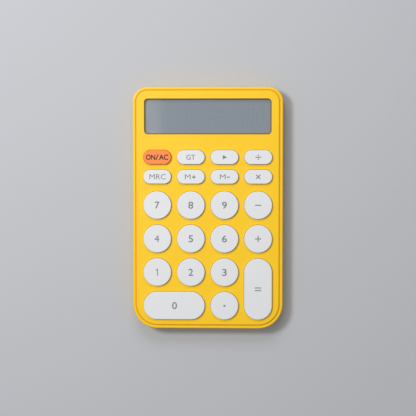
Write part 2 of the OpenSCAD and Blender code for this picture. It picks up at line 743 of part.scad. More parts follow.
// These two go down through the carrier's ears.
module carrier_screws() color([0.70, 0.71, 0.73])
    for (s = [-1, 1]) translate([s * carrier_ear_x, well_y, z_ear_seat])
        mirror([0, 0, 1]) screw_up(carrier_screw, 0, z_ear_seat - z_floor - 0.6);

rear_case();
front_cover();
display_lens();
lens_tape();
lcd_front_polariser();
lcd_front_glass();
lcd_rear_glass();
lcd_reflector();
lcd_zebra_connector();
lcd_foam_pads();
circuit_board();
contact_pads();
controller_chip();
chip_capacitors();
chip_resistors();
rubber_keypad();
carbon_pills();
battery_cap();
button_cell();
battery_contact_carrier();
battery_contact_positive();
battery_contact_negative();
battery_lead_red();
battery_lead_black();
case_screws();
board_screws();
carrier_screws();
for (f = FEET) foot(f);
for (k = KEYS) color(k[0] == "key_on_ac" ? [0.98, 0.50, 0.22] : [0.93, 0.93, 0.93]) key(k);
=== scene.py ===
import math

import bmesh
import bpy
from mathutils import Matrix, Vector


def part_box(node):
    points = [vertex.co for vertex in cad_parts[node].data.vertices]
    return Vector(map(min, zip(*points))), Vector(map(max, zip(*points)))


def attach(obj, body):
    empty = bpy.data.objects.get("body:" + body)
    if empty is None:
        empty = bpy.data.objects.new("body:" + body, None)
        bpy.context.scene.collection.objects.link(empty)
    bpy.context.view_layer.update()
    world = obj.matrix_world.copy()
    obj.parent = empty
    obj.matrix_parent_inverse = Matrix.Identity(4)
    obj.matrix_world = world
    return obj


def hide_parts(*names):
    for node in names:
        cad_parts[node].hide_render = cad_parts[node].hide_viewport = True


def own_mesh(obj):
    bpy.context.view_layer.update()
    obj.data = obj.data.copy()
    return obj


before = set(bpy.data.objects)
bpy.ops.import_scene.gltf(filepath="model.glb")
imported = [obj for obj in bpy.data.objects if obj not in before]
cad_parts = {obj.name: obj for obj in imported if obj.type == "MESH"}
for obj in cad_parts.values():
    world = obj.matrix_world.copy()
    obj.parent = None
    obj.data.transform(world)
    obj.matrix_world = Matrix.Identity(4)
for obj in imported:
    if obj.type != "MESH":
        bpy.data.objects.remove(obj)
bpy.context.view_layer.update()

mm = 0.001
closeTo = 0.01 * mm  # heights nearer than this count as the same
meetsAt = 0.0001 * mm  # points nearer than this become one
shading = {"sharpAngle": 50, "flatWeight": 80}  # degrees, and the pull of the larger faces


# small tools for placing and finishing pieces

def nodeCentre(node):
    low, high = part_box(node)
    return [(a + b) / 2 for a, b in zip(low, high)]


def nodeSize(node):
    low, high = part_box(node)
    return [b - a for a, b in zip(low, high)]


def softShading(piece):
    # flat faces stay flat, and the small bevels between them carry the change
    mesh = piece.data
    mesh.polygons.foreach_set("use_smooth", [True] * len(mesh.polygons))
    mesh.set_sharp_from_angle(angle=math.radians(shading["sharpAngle"]))
    weighted = piece.modifiers.new("evenNormals", "WEIGHTED_NORMAL")
    weighted.keep_sharp = True
    weighted.weight = shading["flatWeight"]


def addPiece(name, shape, material, body, stands=()):
    # stands names the CAD nodes that the piece stands for
    mesh = bpy.data.meshes.new(name)
    shape.to_mesh(mesh)
    shape.free()
    piece = bpy.data.objects.new(name, mesh)
    bpy.context.scene.collection.objects.link(piece)
    mesh.materials.append(material)
    softShading(piece)
    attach(piece, body)
    if stands:
        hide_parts(*stands)
    return piece


def rimEdges(shape, *levels):
    # the edges that lie wholly at one of the heights
    return [e for e in shape.edges
            if any(all(abs(v.co.z - level) < closeTo for v in e.verts) for level in levels)]


def faceUp(shape):
    for face in shape.faces:
        if face.normal.z < 0:
            face.normal_flip()


def raisedPrint(shape, thickness):
    # gives a flat shape that faces up a thickness
    faceUp(shape)
    grown = bmesh.ops.extrude_face_region(shape, geom=shape.faces[:])["geom"]
    bmesh.ops.translate(shape, vec=(0, 0, thickness),
                        verts=[v for v in grown if isinstance(v, bmesh.types.BMVert)])


def addDisc(shape, centre, radius, height, segments):
    made = bmesh.ops.create_cone(shape, cap_ends=True, segments=segments, radius1=radius,
                                 radius2=radius, depth=height)["verts"]
    bmesh.ops.translate(shape, vec=centre, verts=made)


def steppedFace(shape, face, inset, height):
    # moves the face inwards by the inset, then up or down by the height
    bmesh.ops.inset_region(shape, faces=[face], thickness=inset, use_even_offset=True,
                           use_boundary=True)
    step = bmesh.ops.extrude_discrete_faces(shape, faces=[face])["faces"][0]
    bmesh.ops.translate(shape, verts=step.verts, vec=(0, 0, height))
    return step


# shader tools

noiseRoughness = 0.55


class Wire:
    # an output socket that can be used in sums
    def __init__(self, finish, socket):
        self.finish = finish
        self.socket = socket

    def maths(self, operation, first, second):
        return self.finish.add("ShaderNodeMath", {"operation": operation}, {0: first, 1: second})

    def __add__(self, other):
        return self.maths("ADD", self, other)

    def __mul__(self, other):
        return self.maths("MULTIPLY", self, other)

    __radd__ = __add__
    __rmul__ = __mul__


class Finish:
    # one material, with its nodes added by kind
    def __init__(self, name):
        self.material = bpy.data.materials.new(name)
        self.material.use_nodes = True
        self.tree = self.material.node_tree
        self.tree.nodes.clear()
        self.shader = self.tree.nodes.new("ShaderNodeBsdfPrincipled")
        output = self.tree.nodes.new("ShaderNodeOutputMaterial")
        self.tree.links.new(self.shader.outputs["BSDF"], output.inputs["Surface"])
        self.place = self.add("ShaderNodeTexCoord", output="Object")

    def join(self, socket, value):
        if isinstance(value, Wire):
            self.tree.links.new(value.socket, socket)
        else:
            socket.default_value = value

    def add(self, kind, settings=None, values=None, output=0):
        made = self.tree.nodes.new(kind)
        for name, value in (settings or {}).items():
            setattr(made, name, value)
        for name, value in (values or {}).items():
            self.join(made.inputs[name], value)
        return Wire(self, made.outputs[output])

    def set(self, **values):
        for name, value in values.items():
            self.join(self.shader.inputs[name.replace("_", " ")], value)

    def fixed(self, **values):
        # values that are the same all over the surface
        for name, value in values.items():
            self.shader.inputs[name].default_value = value

    def stretched(self, scale):
        return self.add("ShaderNodeMapping", None, {"Vector": self.place, "Scale": scale})

    def noise(self, scale, detail=2.0, place=None):
        return self.add("ShaderNodeTexNoise", None,
                        {"Vector": place or self.place, "Scale": scale, "Detail": detail,
                         "Roughness": noiseRoughness})

    def swung(self, middle, swing, pattern):
        # a value that the pattern moves up and down around its middle
        return pattern * swing + (middle - swing / 2)

    def mixed(self, factor, first, second):
        # the colour sockets of a Mix node are its seventh and eighth
        return self.add("ShaderNodeMix", {"data_type": "RGBA"},
                        {0: factor, 6: first, 7: second}, output=2)

    def bumped(self, height, distance, strength=1.0):
        return self.add("ShaderNodeBump", None,
                        {"Height": height, "Distance": distance * mm, "Strength": strength})

    def toned(self, pattern, colour, darkest, lightest):
        # the colour, shaded from its darkest to its lightest factor by the pattern
        return self.mixed(pattern, shaded(colour, darkest), shaded(colour, lightest))


def linear(red, green, blue):
    # a colour as a screen shows it, turned into the shader's own scale
    return [(c / 255 / 12.92) if c < 11 else ((c / 255 + 0.055) / 1.055) ** 2.4
            for c in (red, green, blue)]


def shaded(colour, factor):
    return (*[min(1.0, c * factor) for c in colour], 1)


plastic = {"cloudScale": 55, "grainScale": 5200, "grainStrength": 0.6, "swing": 0.12, "ior": 1.5}


def mouldedPlastic(name, colour, roughness=0.42, grain=0.006, mottle=0.03, paintedRecessShade=None):
    # fine spark-eroded grain, with a faint change of tone across each moulding; the last argument
    # gives painted shade for the recesses, a deeper colour below a height, and the heights between
    # which it fades out
    finish = Finish(name)
    surface = finish.toned(finish.noise(plastic["cloudScale"], 3), colour, 1 - mottle, 1 + mottle)
    if paintedRecessShade:
        # painted shade: below the given heights the colour turns to the recess colour, in place of
        # light bouncing in the hollows
        recessShadeColour, lowest, highest = paintedRecessShade
        height = finish.add("ShaderNodeSeparateXYZ", None, {"Vector": finish.place}, output="Z")
        fade = finish.add("ShaderNodeMapRange", None, {"Value": height, "From Min": lowest * mm,
                                                       "From Max": highest * mm})
        surface = finish.mixed(fade, (*recessShadeColour, 1), surface)
    texture = finish.noise(plastic["grainScale"])
    finish.set(Base_Color=surface, Roughness=finish.swung(roughness, plastic["swing"], texture),
               Normal=finish.bumped(texture, grain, plastic["grainStrength"]))
    finish.fixed(IOR=plastic["ior"])
    return finish.material


rubber = {"poreScale": 2600, "darkest": 0.82, "lightest": 1.12, "patchScale": 700, "swing": 0.2}


def rubberFinish(name, colour, roughness=0.75, grain=0.01):
    finish = Finish(name)
    pores = finish.noise(rubber["poreScale"], 3)
    patches = finish.noise(rubber["patchScale"])
    finish.set(Base_Color=finish.toned(pores, colour, rubber["darkest"], rubber["lightest"]),
               Roughness=finish.swung(roughness, rubber["swing"], patches),
               Normal=finish.bumped(pores, grain))
    return finish.material


metal = {"lineScale": 2400, "darkest": 0.85, "lightest": 1.08, "swing": 0.16, "depth": 0.003}


def metalFinish(name, colour, roughness=0.3, brushed=(1, 1, 1)):
    finish = Finish(name)
    lines = finish.noise(metal["lineScale"], 3, finish.stretched(brushed))
    finish.set(Base_Color=finish.toned(lines, colour, metal["darkest"], metal["lightest"]),
               Roughness=finish.swung(roughness, metal["swing"], lines),
               Normal=finish.bumped(lines, metal["depth"]))
    finish.fixed(Metallic=1)
    return finish.material


yellow = linear(255, 204, 10)
# painted shade colour: a deeper orange for the cover's groove and key holes
recessShadeAmber = linear(255, 176, 0)
keyWhite = linear(229, 230, 232)
orange = linear(255, 140, 66)
caseFinish = mouldedPlastic("caseYellow", yellow, 0.34)
# the cover gets painted shade in its groove and around its key holes, fading out between 10.6 and
# 11.3 mm high
coverFinish = mouldedPlastic("coverYellow", yellow, 0.44, paintedRecessShade=(recessShadeAmber, 10.6, 11.3))
capFinish = mouldedPlastic("capYellow", linear(252, 198, 34), 0.42)
keyFinish = mouldedPlastic("keyWhite", keyWhite, 0.40, grain=0.004, mottle=0.012)
startKeyFinish = mouldedPlastic("keyOrange", orange, 0.40, grain=0.004, mottle=0.02)
carrierFinish = mouldedPlastic("carrierWhite", linear(232, 230, 222), 0.5)
footFinish = rubberFinish("footRubber", linear(46, 46, 48))
sheetFinish = rubberFinish("sheetSilicone", linear(222, 224, 226), 0.6, grain=0.005)
pillFinish = rubberFinish("pillCarbon", linear(30, 30, 31), 0.8)
redLeadFinish = rubberFinish("leadRed", linear(200, 36, 30), 0.45, grain=0.002)
blackLeadFinish = rubberFinish("leadBlack", linear(28, 28, 30), 0.45, grain=0.002)
screwFinish = metalFinish("screwZinc", linear(190, 192, 196), 0.32)
cellFinish = metalFinish("cellNickel", linear(206, 205, 200), 0.24, brushed=(1, 1, 0.1))
contactFinish = metalFinish("contactBronze", linear(214, 178, 110), 0.28, brushed=(1, 0.1, 1))


ink = {"scale": 1800, "darkest": 0.9, "lightest": 1.12, "roughness": 0.575, "swing": 0.15,
       "depth": 0.002}


def inkFinish(name, colour):
    # screen-printed ink: a little uneven, and slightly rough
    finish = Finish(name)
    cover = finish.noise(ink["scale"], 3)
    finish.set(Base_Color=finish.toned(cover, colour, ink["darkest"], ink["lightest"]),
               Roughness=finish.swung(ink["roughness"], ink["swing"], cover),
               Normal=finish.bumped(cover, ink["depth"]))
    return finish.material


greyInk = inkFinish("legendGrey", linear(124, 125, 129))
darkInk = inkFinish("legendDark", linear(20, 8, 5))


lens = {"scale": 90, "dark": (0.30, 0.33, 0.36, 1), "light": (0.36, 0.39, 0.42, 1),
        "roughness": 0.055, "roughnessSwing": 0.05, "alpha": 0.155, "alphaSwing": 0.03, "ior": 1.49}


def lensFinish():
    finish = Finish("lensAcrylic")
    smear = finish.noise(lens["scale"], 3)
    finish.set(Base_Color=finish.mixed(smear, lens["dark"], lens["light"]),
               Roughness=finish.swung(lens["roughness"], lens["roughnessSwing"], smear),
               Alpha=finish.swung(lens["alpha"], lens["alphaSwing"], smear))
    finish.fixed(IOR=lens["ior"])
    return finish.material


film = {"cloudScale": 26, "cloudStretch": (1, 0.6, 1), "cloudShare": 0.7,
        "fibreScale": 900, "fibreStretch": (1, 0.02, 1), "fibreShare": 0.3,
        "darkest": 0.93, "lightest": 1.07, "roughness": 0.07, "swing": 0.04}


def filmFinish(name, colour):
    # polarising film over the display, with a faint upright grain
    finish = Finish(name)
    cloud = finish.noise(film["cloudScale"], 2, finish.stretched(film["cloudStretch"]))
    fibre = finish.noise(film["fibreScale"], 2, finish.stretched(film["fibreStretch"]))
    tone = cloud * film["cloudShare"] + fibre * film["fibreShare"]
    finish.set(Base_Color=finish.toned(tone, colour, film["darkest"], film["lightest"]),
               Roughness=finish.swung(film["roughness"], film["swing"], fibre))
    return finish.material


tape = {"colour": linear(82, 72, 76), "scale": 2200, "darkest": 0.9, "lightest": 1.15,
        "roughness": 0.675, "swing": 0.15, "depth": 0.004}


def tapeFinish():
    finish = Finish("tapeDark")
    weave = finish.noise(tape["scale"])
    finish.set(Base_Color=finish.toned(weave, tape["colour"], tape["darkest"], tape["lightest"]),
               Roughness=finish.swung(tape["roughness"], tape["swing"], weave),
               Normal=finish.bumped(weave, tape["depth"]))
    return finish.material


board = {"runScale": 160, "runWidth": 0.12, "runSoftness": 0.1, "runDepth": 0.02,
         "run": (0.03, 0.20, 0.08, 1), "mask": (0.010, 0.085, 0.035, 1),
         "maskLight": (0.016, 0.11, 0.05, 1), "speckScale": 1500, "roughness": 0.35, "swing": 0.1}


def boardFinish():
    # solder mask with copper runs showing through as a lighter green
    finish = Finish("boardGreen")
    black, white = (0, 0, 0, 1), (1, 1, 1, 1)
    runs = finish.add("ShaderNodeTexBrick", {"offset": 0.5, "squash": 1.0},
                      {"Vector": finish.place, "Scale": board["runScale"],
                       "Mortar Size": board["runWidth"], "Mortar Smooth": board["runSoftness"],
                       "Color1": black, "Color2": black, "Mortar": white})
    speck = finish.noise(board["speckScale"])
    mask = finish.mixed(speck, board["mask"], board["maskLight"])
    finish.set(Base_Color=finish.mixed(runs, mask, board["run"]),
               Roughness=finish.swung(board["roughness"], board["swing"], speck),
               Normal=finish.bumped(runs, board["runDepth"]))
    return finish.material


zebra = {"dark": linear(60, 40, 42), "light": linear(214, 160, 164), "scale": 900,
         "distortion": 0.3, "roughness": 0.6, "swing": 0.1}


def zebraFinish():
    # layers of conducting and plain rubber
    finish = Finish("zebraStrip")
    bands = finish.add("ShaderNodeTexWave", {"bands_direction": "X"},
                       {"Vector": finish.place, "Scale": zebra["scale"],
                        "Distortion": zebra["distortion"]})
    finish.set(Base_Color=finish.mixed(bands, (*zebra["dark"], 1), (*zebra["light"], 1)),
               Roughness=finish.swung(zebra["roughness"], zebra["swing"], bands))
    return finish.material


speckle = {"darkest": 0.85, "lightest": 1.15, "swing": 0.1}


def speckledFinish(name, colour, roughness=0.5, scale=3000, depth=0.005):
    finish = Finish(name)
    speck = finish.noise(scale, 3)
    finish.set(Base_Color=finish.toned(speck, colour, speckle["darkest"], speckle["lightest"]),
               Roughness=finish.swung(roughness, speckle["swing"], speck),
               Normal=finish.bumped(speck, depth))
    return finish


glass = speckledFinish("displayGlass", linear(200, 212, 212), 0.08, 400, 0.001)
glass.fixed(Alpha=0.4)

innerFinishes = {
    "display_lens": lensFinish(),
    "lens_tape": tapeFinish(),
    "lcd_front_polariser": filmFinish("filmGrey", linear(147, 158, 170)),
    "lcd_front_glass": glass.material,
    "lcd_rear_glass": glass.material,
    "lcd_reflector": speckledFinish("reflectorFoil", linear(166, 171, 173), 0.4, 1200).material,
    "lcd_zebra_connector": zebraFinish(),
    "lcd_foam_pads": rubberFinish("padFoam", linear(58, 58, 62), 0.9, grain=0.06),
    "circuit_board": boardFinish(),
    "contact_pads": speckledFinish("padCarbon", linear(34, 34, 36), 0.7, 4000).material,
    "controller_chip": speckledFinish("chipResin", linear(22, 22, 24), 0.3, 900).material,
    "chip_capacitors": speckledFinish("capacitorTan", linear(176, 146, 104), 0.45).material,
    "chip_resistors": speckledFinish("resistorBlack", linear(34, 34, 38), 0.4).material,
    "button_cell": cellFinish,
    "battery_contact_carrier": carrierFinish,
    "battery_contact_positive": contactFinish,
    "battery_contact_negative": contactFinish,
    "battery_lead_red": redLeadFinish,
    "battery_lead_black": blackLeadFinish,
    "board_screws": screwFinish,
    "carrier_screws": screwFinish,
}
for node, material in innerFinishes.items():
    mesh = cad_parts[node].data
    mesh.materials.clear()
    mesh.materials.append(material)
print("finishes given to", len(innerFinishes), "inner parts")


# shells: the CAD shape with its sharp outer edges broken, as a mould leaves them

shells = {
    "rear_case": {"name": "caseShell", "edge": 0.28, "finish": caseFinish, "slot": "case_yellow"},
    "front_cover": {"name": "coverShell", "edge": 0.12, "finish": coverFinish,
                    "slot": "cover_yellow"},
    "battery_cap": {"name": "batteryCap", "edge": 0.12, "finish": capFinish,
                    "slot": "cap_yellow"},
    "case_screws": {"name": "caseScrewSet", "edge": 0.05, "finish": screwFinish,
                    "slot": "screw_steel"},
}


corners = {"flatAngle": 0.05, "sharpAngle": 40, "steps": 2}  # angles in degrees


def mergedCopy(node):
    shape = bmesh.new()
    shape.from_mesh(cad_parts[node].data)
    bmesh.ops.remove_doubles(shape, verts=shape.verts, dist=meetsAt)
    return shape


def brokenEdges(node, width):
    # only the edges in the node's lowest and highest faces: the others are inside the calculator
    shape = mergedCopy(node)
    low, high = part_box(node)
    bmesh.ops.dissolve_limit(shape, angle_limit=math.radians(corners["flatAngle"]),
                             verts=shape.verts, edges=shape.edges, delimit=set())
    sharp = [e for e in rimEdges(shape, low[2], high[2])
             if e.is_convex and e.calc_face_angle() > math.radians(corners["sharpAngle"])]
    bmesh.ops.bevel(shape, geom=sharp, affect="EDGES", offset=width, offset_type="OFFSET",
                    segments=corners["steps"], profile=0.5, material=-1, clamp_overlap=False)
    return shape


for node, shell in shells.items():
    body = "battery_cap" if node == "battery_cap" else "body"
    addPiece(shell["name"], brokenEdges(node, shell["edge"] * mm), shell["finish"], body,
             [node])
print("shells made:", ", ".join(shell["name"] for shell in shells.values()))


# feet: turned rubber pads with a shallow hollow under each

foot = {"round": 0.25, "roundSteps": 3, "hollow": 2.6, "hollowDepth": 0.3, "around": 64}  # mm


def footPad(node):
    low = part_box(node)[0]
    centre = Vector(nodeCentre(node))
    across, _, height = nodeSize(node)
    radius = across / 2
    shape = bmesh.new()
    addDisc(shape, centre, radius, height, foot["around"])
    under = min(shape.faces, key=lambda f: f.calc_center_median().z)
    steppedFace(shape, under, radius - foot["hollow"] * mm, foot["hollowDepth"] * mm)
    rim = [e for e in rimEdges(shape, low[2])
           if all((v.co.xy - centre.xy).length > radius - closeTo for v in e.verts)]
    bmesh.ops.bevel(shape, geom=rim, affect="EDGES", offset=foot["round"] * mm,
                    offset_type="OFFSET", segments=foot["roundSteps"], profile=0.5, material=-1)
    return shape


for corner in ("display_left", "display_right", "near_left", "near_right"):
    node = "foot_" + corner
    addPiece("rubberFoot." + corner, footPad(node), footFinish, "body", [node])
print("feet made")


# keys: hollow moulded caps with a flange, a rounded top edge and a stem

keyCap = {
    "flange": 0.9, "flangeHeight": 0.75, "edgeRound": 0.4, "edgeSteps": 6,
    "wall": 1.3, "topThickness": 1.4, "stem": 2.6, "around": 96,
    "tabHalfAngle": 5, "tabReach": 1.1, "printDepth": 0.02,
}  # mm and degrees


def stretchedRound(shape, count, radius, straight, upright=False):
    # a round outline, its two halves drawn apart by a straight stretch
    made = bmesh.ops.create_circle(shape, cap_ends=True, segments=count, radius=radius)["verts"]
    bmesh.ops.rotate(shape, verts=made, matrix=Matrix.Rotation(math.pi / count, 3, "Z"))
    for side in (-1, 1):
        half = [v for v in made if v.co.x * side > 0]
        bmesh.ops.translate(shape, verts=half, vec=(side * straight / 2, 0, 0))
    if upright:
        bmesh.ops.rotate(shape, verts=made, matrix=Matrix.Rotation(math.pi / 2, 3, "Z"))
    return made


def thickened(shape, made, height):
    # turns the flat outline into a solid and gives its lower and its upper face
    floor = next(f for f in made[0].link_faces)
    grown = bmesh.ops.extrude_face_region(shape, geom=[floor])["geom"]
    lid = next(part for part in grown if isinstance(part, bmesh.types.BMFace))
    bmesh.ops.translate(shape, verts=lid.verts, vec=(0, 0, height))
    return floor, lid


def keyShape(node):
    low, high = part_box(node)
    centre = nodeCentre(node)
    flange = keyCap["flange"] * mm
    across, along = nodeSize(node)[0] - 2 * flange, nodeSize(node)[1] - 2 * flange
    radius = min(across, along) / 2
    straight = abs(across - along)
    height = high[2] - low[2] - keyCap["printDepth"] * mm
    shape = bmesh.new()
    made = stretchedRound(shape, keyCap["around"], radius + flange, straight, along > across)
    floor, lid = thickened(shape, made, keyCap["flangeHeight"] * mm)
    if straight < closeTo:  # a round key, kept from turning by a tab
        toward = Vector((1, 1, 0)).normalized()
        grip = math.cos(math.radians(keyCap["tabHalfAngle"]))
        side = [f for f in shape.faces if f.normal.dot(toward) > grip]
        tab = bmesh.ops.extrude_face_region(shape, geom=side)["geom"]
        bmesh.ops.translate(shape, vec=toward * keyCap["tabReach"] * mm,
                            verts=[v for v in tab if isinstance(v, bmesh.types.BMVert)])
        bmesh.ops.delete(shape, geom=[f for f in side if f.is_valid], context="FACES_ONLY")
        bmesh.ops.delete(shape, geom=[e for e in shape.edges if e.is_wire], context="EDGES")
    steppedFace(shape, lid, flange, height - keyCap["flangeHeight"] * mm)
    bmesh.ops.bevel(shape, geom=rimEdges(shape, height), affect="EDGES",
                    offset=keyCap["edgeRound"] * mm, offset_type="OFFSET",
                    segments=keyCap["edgeSteps"], profile=0.5, material=-1)
    wall, ceiling = keyCap["wall"] * mm, height - keyCap["topThickness"] * mm
    inside = steppedFace(shape, floor, flange + wall, ceiling)
    steppedFace(shape, inside, radius - wall - keyCap["stem"] * mm, -ceiling)
    bmesh.ops.translate(shape, verts=shape.verts, vec=(centre[0], centre[1], low[2]))
    return shape


# legends: printed on each key's top

legend = {
    "sink": 0.03, "stroke": 0.64, "dot": 0.42, "dotGap": 1.2, "around": 24, "curveSteps": 6,
    "numeral": 4.6, "numeralThicker": 0.012,
}  # mm

# a word's text, width, height, distance right of the middle, and how much it is thickened
words = {
    "key_gt": ("GT", 5.8, 3.3, 0, 0.006),
    "key_mrc": ("MRC", 10.6, 3.4, 0.35, 0),
    "key_0": ("0", 3.2, legend["numeral"], 0.3, legend["numeralThicker"]),
    "key_4": ("4", 3.1, 4.5, -0.25, 0),
}
for digit, width in zip("2356789", (3.0, 3.0, 3.0, 3.2, 3.1, 3.2, 3.2)):
    words["key_" + digit] = (digit, width, legend["numeral"], 0, legend["numeralThicker"])


def wordShape(text, width, height, across, thicker):
    curve = bpy.data.curves.new("legendText", "FONT")
    curve.body = text
    curve.offset = thicker
    curve.resolution_u = legend["curveSteps"]
    holder = bpy.data.objects.new("legendText", curve)
    bpy.context.scene.collection.objects.link(holder)
    bpy.context.view_layer.update()
    flat = bpy.data.meshes.new_from_object(holder.evaluated_get(
        bpy.context.evaluated_depsgraph_get()))
    bpy.data.objects.remove(holder)
    bpy.data.curves.remove(curve)
    shape = bmesh.new()
    shape.from_mesh(flat)
    bpy.data.meshes.remove(flat)
    bmesh.ops.remove_doubles(shape, verts=shape.verts, dist=closeTo)
    left, right = (pick(v.co.x for v in shape.verts) for pick in (min, max))
    lowest, highest = (pick(v.co.y for v in shape.verts) for pick in (min, max))
    bmesh.ops.translate(shape, verts=shape.verts,
                        vec=(-(left + right) / 2, -(lowest + highest) / 2, 0))
    bmesh.ops.scale(shape, verts=shape.verts,
                    vec=(width * mm / (right - left), height * mm / (highest - lowest), 1))
    bmesh.ops.translate(shape, verts=shape.verts, vec=(across * mm, 0, 0))
    return shape


def barSign(bars, dots=()):
    # bars: (centre x, centre y, length, turn in degrees); dots: (centre x, centre y, radius)
    shape = bmesh.new()
    for x, y, length, turn in bars:
        made = bmesh.ops.create_grid(shape, x_segments=1, y_segments=1, size=0.5)["verts"]
        bmesh.ops.scale(shape, verts=made, vec=(length * mm, legend["stroke"] * mm, 1))
        bmesh.ops.rotate(shape, verts=made, matrix=Matrix.Rotation(math.radians(turn), 3, "Z"))
        bmesh.ops.translate(shape, verts=made, vec=(x * mm, y * mm, 0))
    for x, y, radius in dots:
        made = bmesh.ops.create_circle(shape, cap_ends=True, segments=legend["around"],
                                       radius=radius * mm)["verts"]
        bmesh.ops.translate(shape, verts=made, vec=(x * mm, y * mm, 0))
    return shape


def crossSign(length, turn):
    # two strokes that share their middle, cut so that they don't overlap
    half = legend["stroke"] / 2
    arm = length / 2 - half
    middle = half + arm / 2
    bars = [(0, 0, length, turn)]
    for way in (-1, 1):
        angle = math.radians(turn + 90 * way)
        bars.append((middle * math.cos(angle), middle * math.sin(angle), arm, turn + 90 * way))
    return barSign(bars)


def outlined(points):
    shape = bmesh.new()
    shape.faces.new([shape.verts.new((x * mm, y * mm, 0)) for x, y in points])
    return shape


def moved(shape, x, y):
    bmesh.ops.translate(shape, verts=shape.verts, vec=(x * mm, y * mm, 0))
    return shape


def joined(*shapes):
    whole = bmesh.new()
    for shape in shapes:
        flat = bpy.data.meshes.new("legendPart")
        shape.to_mesh(flat)
        shape.free()
        whole.from_mesh(flat)
        bpy.data.meshes.remove(flat)
    return whole


gap, dot = legend["dotGap"], legend["dot"]
signs = {
    "key_on_ac": joined(wordShape("ON", 6.0, 3.5, -4.2, 0.026), barSign([(0, 0, 3.9, 68)]),
                        wordShape("AC", 6.0, 3.5, 4.2, 0.026)),
    "key_m_plus": joined(wordShape("M", 3.65, 3.2, -1.95, 0), moved(crossSign(2.3, 0), 2.0, -0.2)),
    "key_m_minus": joined(wordShape("M", 3.65, 3.2, -1.1, 0), barSign([(2.5, -0.2, 2.1, 0)])),
    "key_divide": barSign([(0, 0, 3.7, 0)], [(0, gap, dot), (0, -gap, dot)]),
    "key_multiply": crossSign(3.7, 45),
    "key_minus": barSign([(0, 0, 4.1, 0)]),
    "key_plus": crossSign(4.0, 0),
    "key_equals": barSign([(0, 0.85, 4.1, 0), (0, -0.85, 4.1, 0)]),
    "key_point": barSign([], [(0, 0, 0.68)]),
    "key_backspace": outlined([(-1.1, -1.4), (1.65, 0), (-1.1, 1.4)]),
    "key_1": outlined([(-0.1, -2.25), (0.45, -2.25), (0.45, 2.25), (0, 2.25), (-1.15, 1.35),
                       (-1.15, 0.75), (-0.1, 1.55)]),
}


def printedOn(node, shape):
    # gives the flat print a thickness and sets it into the key's top
    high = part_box(node)[1]
    centre = nodeCentre(node)
    depth = (legend["sink"] + keyCap["printDepth"]) * mm
    raisedPrint(shape, depth)
    bmesh.ops.translate(shape, verts=shape.verts, vec=(centre[0], centre[1], high[2] - depth))
    return shape


keyNodes = [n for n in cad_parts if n.startswith("key_")]
for node in keyNodes:
    starts = node == "key_on_ac"
    part = node.replace("key_", "")
    addPiece("keyCap." + part, keyShape(node), startKeyFinish if starts else keyFinish, node,
             [node])
    flat = signs[node] if node in signs else wordShape(*words[node])
    addPiece("legend." + part, printedOn(node, flat), darkInk if starts else greyInk, node)
print("keys with legends:", len(keyNodes))


# rubber sheet: a dome under each key, with its pill, which moves with the key

keypad = {
    "sheet": 0.75, "reach": 5, "travel": 1.2, "pillRadius": 1.9, "pillGap": 0.06, "pillAround": 48,
}  # mm


def domePlaces():
    # the middle of every carbon pill, found from the loose parts of their node
    pills = mergedCopy("carbon_pills")
    places, left = [], set(pills.verts)
    while left:
        island, edge = set(), [left.pop()]
        while edge:
            island.update(edge)
            edge = [n for v in edge for e in v.link_edges for n in e.verts if n in left]
            left.difference_update(edge)
        places.append(sum((v.co.xy for v in island), Vector((0, 0))) / len(island))
    pills.free()
    return places


def near(vert, places):
    return any((vert.co.xy - place).length < keypad["reach"] * mm for place in places)


def keypadCut(level, above, places):
    # the part above or below the level, with the cut through each dome closed by a ring
    shape = mergedCopy("rubber_keypad")
    bmesh.ops.bisect_plane(shape, geom=shape.verts[:] + shape.edges[:] + shape.faces[:],
                           dist=meetsAt, plane_co=(0, 0, level), plane_no=(0, 0, 1),
                           clear_inner=above, clear_outer=not above)
    for place in places:
        rims = [e for e in shape.edges if e.is_boundary and near(e.verts[0], [place])]
        bmesh.ops.bridge_loops(shape, edges=rims)
    bmesh.ops.recalc_face_normals(shape, faces=shape.faces)
    return shape


places = sorted(domePlaces(), key=lambda place: (round(place.y, 4), round(place.x, 4)))
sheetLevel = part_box("rubber_keypad")[0][2] + keypad["sheet"] * mm
addPiece("keypadSheet", keypadCut(sheetLevel, False, places), sheetFinish, "body",
         ["rubber_keypad"])
allDomes = keypadCut(sheetLevel, True, places)
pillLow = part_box("carbon_pills")[0][2] + keypad["pillGap"] * mm
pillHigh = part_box("carbon_pills")[1][2]
for node in keyNodes:
    low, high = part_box(node)
    under = [p for p in places if low[0] < p.x < high[0] and low[1] < p.y < high[1]]
    domes = allDomes.copy()
    bmesh.ops.delete(domes, geom=[v for v in domes.verts if not near(v, under)], context="VERTS")
    part = node.replace("key_", "")
    piece = addPiece("dome." + part, domes, sheetFinish, "body")
    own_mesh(piece)
    pills = bmesh.new()
    for place in under:
        addDisc(pills, (place.x, place.y, (pillLow + pillHigh) / 2), keypad["pillRadius"] * mm,
                pillHigh - pillLow, keypad["pillAround"])
    addPiece("pill." + part, pills, pillFinish, node,
             ["carbon_pills"] if node == keyNodes[0] else [])
allDomes.free()
print("domes made:", len(places))


# unlit segments of the display, just visible under the film

digits = {
    "count": 12, "pitch": 6.1, "width": 3.6, "height": 10.8, "bar": 0.62, "gap": 0.16,
    "slant": 6, "thickness": 0.015, "drop": 0.8, "pointAround": 12,
}  # mm and degrees


